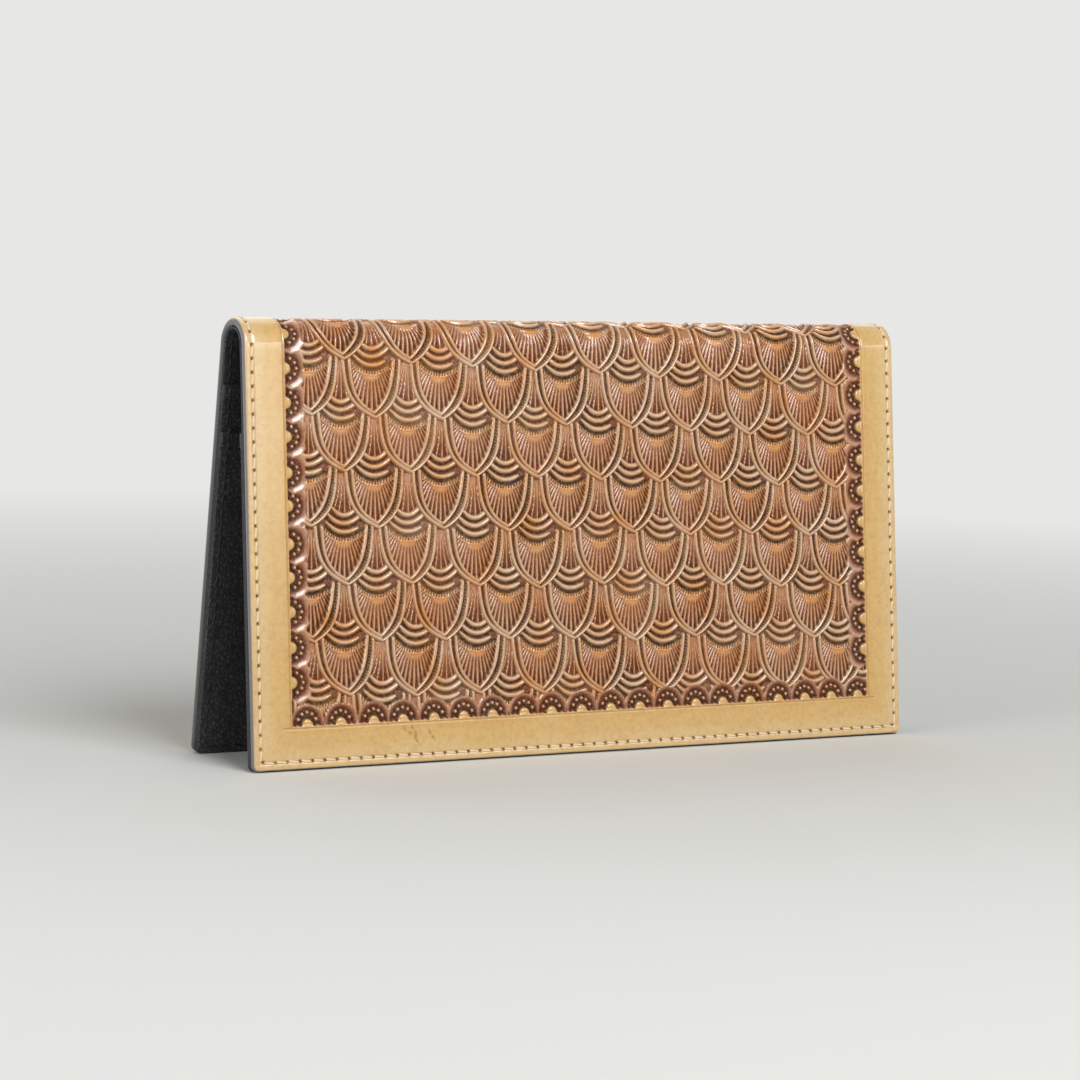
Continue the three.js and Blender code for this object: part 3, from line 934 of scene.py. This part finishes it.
def makeHideGrain():                   # shared by both leathers: blotches, fine specks and pebbled creases
    v = {"blotch": 9, "fine": 1.2, "warp": 1.8, "shift": 1.2}    # sizes in mm
    tree = bpy.data.node_groups.new("hide_grain", "ShaderNodeTree")
    tree.interface.new_socket("Pebble Scale", in_out="INPUT", socket_type="NodeSocketFloat")
    for name in ("Blotch", "Fine", "Crease", "Dome"):
        tree.interface.new_socket(name, in_out="OUTPUT", socket_type="NodeSocketFloat")
    w = Wiring(tree)
    sockets = w.node("NodeGroupInput").outputs
    output = w.node("NodeGroupOutput")
    w.join(w.noise(v["blotch"], 4), output.inputs["Blotch"])
    fine = w.noise(v["fine"], 4, 0.6)
    w.join(fine, output.inputs["Fine"])
    objectPoint = w.node("ShaderNodeTexCoord").outputs["Object"]
    warp = w.node("ShaderNodeTexNoise")
    warp.inputs["Scale"].default_value = 1 / (v["warp"] * mm)
    w.join(objectPoint, warp.inputs["Vector"])
    shifted = w.node("ShaderNodeVectorMath", operation="MULTIPLY_ADD")
    w.join(warp.outputs["Color"], shifted.inputs[0])
    shifted.inputs[1].default_value = (v["shift"] * mm,) * 3
    w.join(objectPoint, shifted.inputs[2])
    pebble = w.node("ShaderNodeTexVoronoi", feature="DISTANCE_TO_EDGE")
    w.join(shifted.outputs["Vector"], pebble.inputs["Vector"])
    w.join(sockets["Pebble Scale"], pebble.inputs["Scale"])
    w.join(w.range(pebble.outputs["Distance"], 0.0, 0.2), output.inputs["Crease"])
    w.join(w.math("POWER", w.range(pebble.outputs["Distance"], 0.0, 0.5), 0.6), output.inputs["Dome"])
    return tree


hideGrain = makeHideGrain()


def makeTooledLeather():
    v = {
        "tan": linear(222, 184, 143),
        "gold": linear(217, 139, 38),
        "rust": linear(137, 59, 30),
        # these two stain colours also stand for the painted shade on the scales' right sides
        "stainAndShade": linear(29, 19, 17),
        "warmStainAndShade": linear(40, 18, 14),
        "margin": linear(215, 173, 92),
        "marginPale": linear(220, 186, 124),
        "marginDeep": linear(209, 157, 69),
        "paint": linear(112, 106, 114),        # of the cut edges
        # cut edges on the rear leg, coloured darker than on the front
        "rearEdge": linear(44, 43, 45),
        "pores": 1 / (0.6 * mm),
    }
    material, shader = newMaterial("tooled_leather")
    w = Wiring(material.node_tree)
    grain = w.node("ShaderNodeGroup", node_tree=hideGrain)
    grain.inputs["Pebble Scale"].default_value = v["pores"]
    blotch, fine, crease = grain.outputs["Blotch"], grain.outputs["Fine"], grain.outputs["Crease"]
    edge = w.math("ADD", w.mask("border"), w.math("MULTIPLY", blotch, 0.9))
    margin = w.mix(w.range(edge, 0.30, 0.70), v["marginDeep"], v["margin"])
    margin = w.mix(w.range(edge, 1.05, 1.5), margin, v["marginPale"])
    tan = w.mix(w.range(blotch, 0.40, 0.72), v["tan"], v["gold"])
    tan = w.mix(w.math("MULTIPLY", w.mask("gold"), w.range(fine, 0.2, 0.6, 0.7, 1.0)), tan, v["gold"])
    tan = w.mix(w.math("MULTIPLY", w.mask("rust"), 0.9), tan, v["rust"])
    leather = w.mix(w.mask("field"), margin, tan)
    stainAndShade = w.mix(w.range(w.mask("rust"), 0.1, 0.5), v["stainAndShade"], v["warmStainAndShade"])
    leather = w.mix(w.math("MULTIPLY", w.mask("stainAndShade"), w.range(fine, 0.25, 0.7, 0.85, 1.05)), leather, stainAndShade)
    leather = w.mix(w.range(fine, 0.45, 0.75, 0.0, 0.22), leather, v["rust"])
    leather = w.mix(w.range(w.noise(0.5, 2), 0.50, 0.75, 0.0, 0.22), leather, v["marginPale"])
    leather = w.mix(w.range(crease, 0.0, 0.5, 0.16, 0.0), leather, v["rust"])
    paint = w.mix(w.mask("rear"), v["paint"], v["rearEdge"])
    w.join(w.mix(w.mask("paint"), leather, paint), shader.inputs["Base Color"])
    w.join(w.range(blotch, 0.3, 0.7, 0.32, 0.44), shader.inputs["Roughness"])
    w.join(w.range(w.mask("stainAndShade"), 0.0, 0.55, 0.9, 0.0), shader.inputs["Coat Weight"])
    shader.inputs["Specular IOR Level"].default_value = 0.15
    shader.inputs["Coat Roughness"].default_value = 0.19
    shader.inputs["Coat IOR"].default_value = 2.05
    normal = w.bump(crease, 0.03, 0.30)
    w.join(w.bump(fine, 0.06, 0.45, normal), shader.inputs["Normal"])
    return material


def makeBlackLeather():
    v = {
        "crease": linear(38, 37, 39),
        "black": linear(62, 61, 63),
        "worn": linear(82, 81, 84),
        "paint": linear(66, 64, 68),
        # cut edges on the rear leg, coloured darker than on the front
        "rearEdge": linear(42, 41, 43),
        "pebble": 1 / (1.05 * mm),
    }
    material, shader = newMaterial("black_leather")
    w = Wiring(material.node_tree)
    grain = w.node("ShaderNodeGroup", node_tree=hideGrain)
    grain.inputs["Pebble Scale"].default_value = v["pebble"]
    blotch, fine, dome = grain.outputs["Blotch"], grain.outputs["Fine"], grain.outputs["Dome"]
    colour = w.mix(w.range(blotch, 0.35, 0.65), v["worn"], v["black"])
    colour = w.mix(w.range(dome, 0.2, 0.7), v["crease"], colour)
    paint = w.mix(w.mask("rear"), v["paint"], v["rearEdge"])
    w.join(w.mix(w.mask("paint"), colour, paint), shader.inputs["Base Color"])
    w.join(w.range(dome, 0.2, 0.9, 0.62, 0.40), shader.inputs["Roughness"])
    height = w.math("ADD", dome, w.math("MULTIPLY", fine, 0.5))
    w.join(w.bump(height, 0.16, 0.8), shader.inputs["Normal"])
    return material


def makeThread(name, pale, shade):
    material, shader = newMaterial(name)
    w = Wiring(material.node_tree)
    strands = w.noise(0.22, 2)
    w.join(w.mix(w.range(strands, 0.3, 0.7), pale, shade), shader.inputs["Base Color"])
    shader.inputs["Roughness"].default_value = 0.6
    w.join(w.bump(strands, 0.08, 0.7), shader.inputs["Normal"])
    return material


tooledLeather = makeTooledLeather()
blackLeather = makeBlackLeather()
creamThread = makeThread("cream_thread", linear(242, 219, 190), linear(229, 201, 165))
blackThread = makeThread("black_thread", linear(30, 29, 31), linear(20, 19, 20))
print("materials made")


# Build every piece
for leg, side in sideOf.items():
    makeCover(side, leg)
    makeLining(side, leg)
for pocketName in pockets:
    makePocket(pocketName)
print("sheets made")
stitchModel = modelStitch()
for leg in sideOf:
    makeSeam(leg, "cover", lambda s: wallet["coverFace"], 1, wallet["coverBack"], creamThread)
    makeSeam(leg, "lining", innerFace(leg), -1, wallet["liningFace"], blackThread)
bpy.data.objects.remove(stitchModel)


# Stage, light and camera
stage = {
    "floor": linear(222, 223, 219),
    "size": 12.0,
    "fade": (0.12, 0.62),               # from where to where the floor fades away
    "sky": 0.2,                        # light from all round
    "background": 0.80,                # what the camera sees there
    "tint": (1, 1, 0.985, 1),
}


def seenPlain(w):                      # 1 for rays that show the background, in the picture or in a gloss
    rays = w.node("ShaderNodeLightPath").outputs
    seen = w.math("MAXIMUM", rays["Is Camera Ray"], rays["Is Glossy Ray"])
    return w.math("MAXIMUM", seen, rays["Is Transmission Ray"])


def makeStage():
    v = stage
    bpy.ops.object.select_all(action="DESELECT")
    bpy.ops.mesh.primitive_plane_add(size=v["size"])
    floor = bpy.context.object
    floor.name = "floor"
    material, shader = newMaterial("paper")
    w = Wiring(material.node_tree)
    away = w.node("ShaderNodeVectorMath", operation="LENGTH")
    w.join(w.node("ShaderNodeTexCoord").outputs["Object"], away.inputs[0])
    far = w.range(away.outputs["Value"], *v["fade"])
    seen = w.math("MULTIPLY", far, seenPlain(w))
    w.join(w.mix(seen, v["floor"], (0, 0, 0, 1)), shader.inputs["Base Color"])
    shader.inputs["Emission Color"].default_value = v["tint"]
    w.join(w.math("MULTIPLY", seen, v["background"]), shader.inputs["Emission Strength"])
    shader.inputs["Roughness"].default_value = 0.9
    shader.inputs["Specular IOR Level"].default_value = 0.0
    floor.data.materials.append(material)


lamps = [                              # name, place, aim, width, height, power
    ("key", (-0.02, -0.62, 0.61), (0, 0, 0.05), 0.50, 0.50, 4.65),
    ("fill", (0.25, -0.61, 0.18), (-0.04, 0, 0.08), 0.26, 0.13, 0.13),
    ("strip", (0.32, -0.57, 0.33), (-0.03, 0, 0.085), 0.42, 0.08, 0.30),
    ("side", (-0.6, -0.12, 0.24), (0, 0, 0.05), 0.3, 0.3, 0.95),
    ("rear", (0.1, 0.75, 0.62), (0, 0, 0.05), 1.3, 1.3, 3.0),
]


def makeLamps():
    for name, at, aim, width, height, power in lamps:
        bpy.ops.object.light_add(type="AREA", location=at)
        lamp = bpy.context.object
        lamp.name = name
        lamp.rotation_mode = "QUATERNION"
        lamp.rotation_quaternion = (Vector(aim) - Vector(at)).to_track_quat("-Z", "Y")
        lamp.data.shape = "ELLIPSE"
        lamp.data.size = width
        lamp.data.size_y = height
        lamp.data.energy = power
    world = bpy.data.worlds.new("studio")
    bpy.context.scene.world = world
    world.use_nodes = True
    w = Wiring(world.node_tree)
    sky = world.node_tree.nodes["Background"]
    sky.inputs["Color"].default_value = stage["tint"]
    w.join(w.range(seenPlain(w), 0.0, 1.0, stage["sky"], stage["background"]), sky.inputs["Strength"])


viewpoint = {
    "place": (-0.4184, -0.6762, 0.1233),
    "azimuth": math.radians(31.35),
    "down": math.radians(5.64),
    "roll": math.radians(1.95),
    "lens": 121.3,
    "sensor": 36,
    "near": 0.01,
}


def makeCamera():
    v = viewpoint
    bpy.ops.object.camera_add(location=v["place"])
    camera = bpy.context.object
    east, north = math.sin(v["azimuth"]), math.cos(v["azimuth"])
    flat = math.cos(v["down"])
    ahead = Vector((east * flat, north * flat, -math.sin(v["down"])))
    level = Vector((north, -east, 0))
    up = level.cross(ahead)
    right = level * math.cos(v["roll"]) + up * math.sin(v["roll"])
    up = right.cross(ahead)
    camera.rotation_mode = "QUATERNION"
    camera.rotation_quaternion = Matrix((right, up, -ahead)).transposed().to_quaternion()
    camera.data.sensor_width = v["sensor"]
    camera.data.lens = v["lens"]
    camera.data.clip_start = v["near"]
    bpy.context.scene.camera = camera


makeStage()
makeLamps()
makeCamera()
bpy.context.scene.view_settings.view_transform = "Standard"
print("stage set")
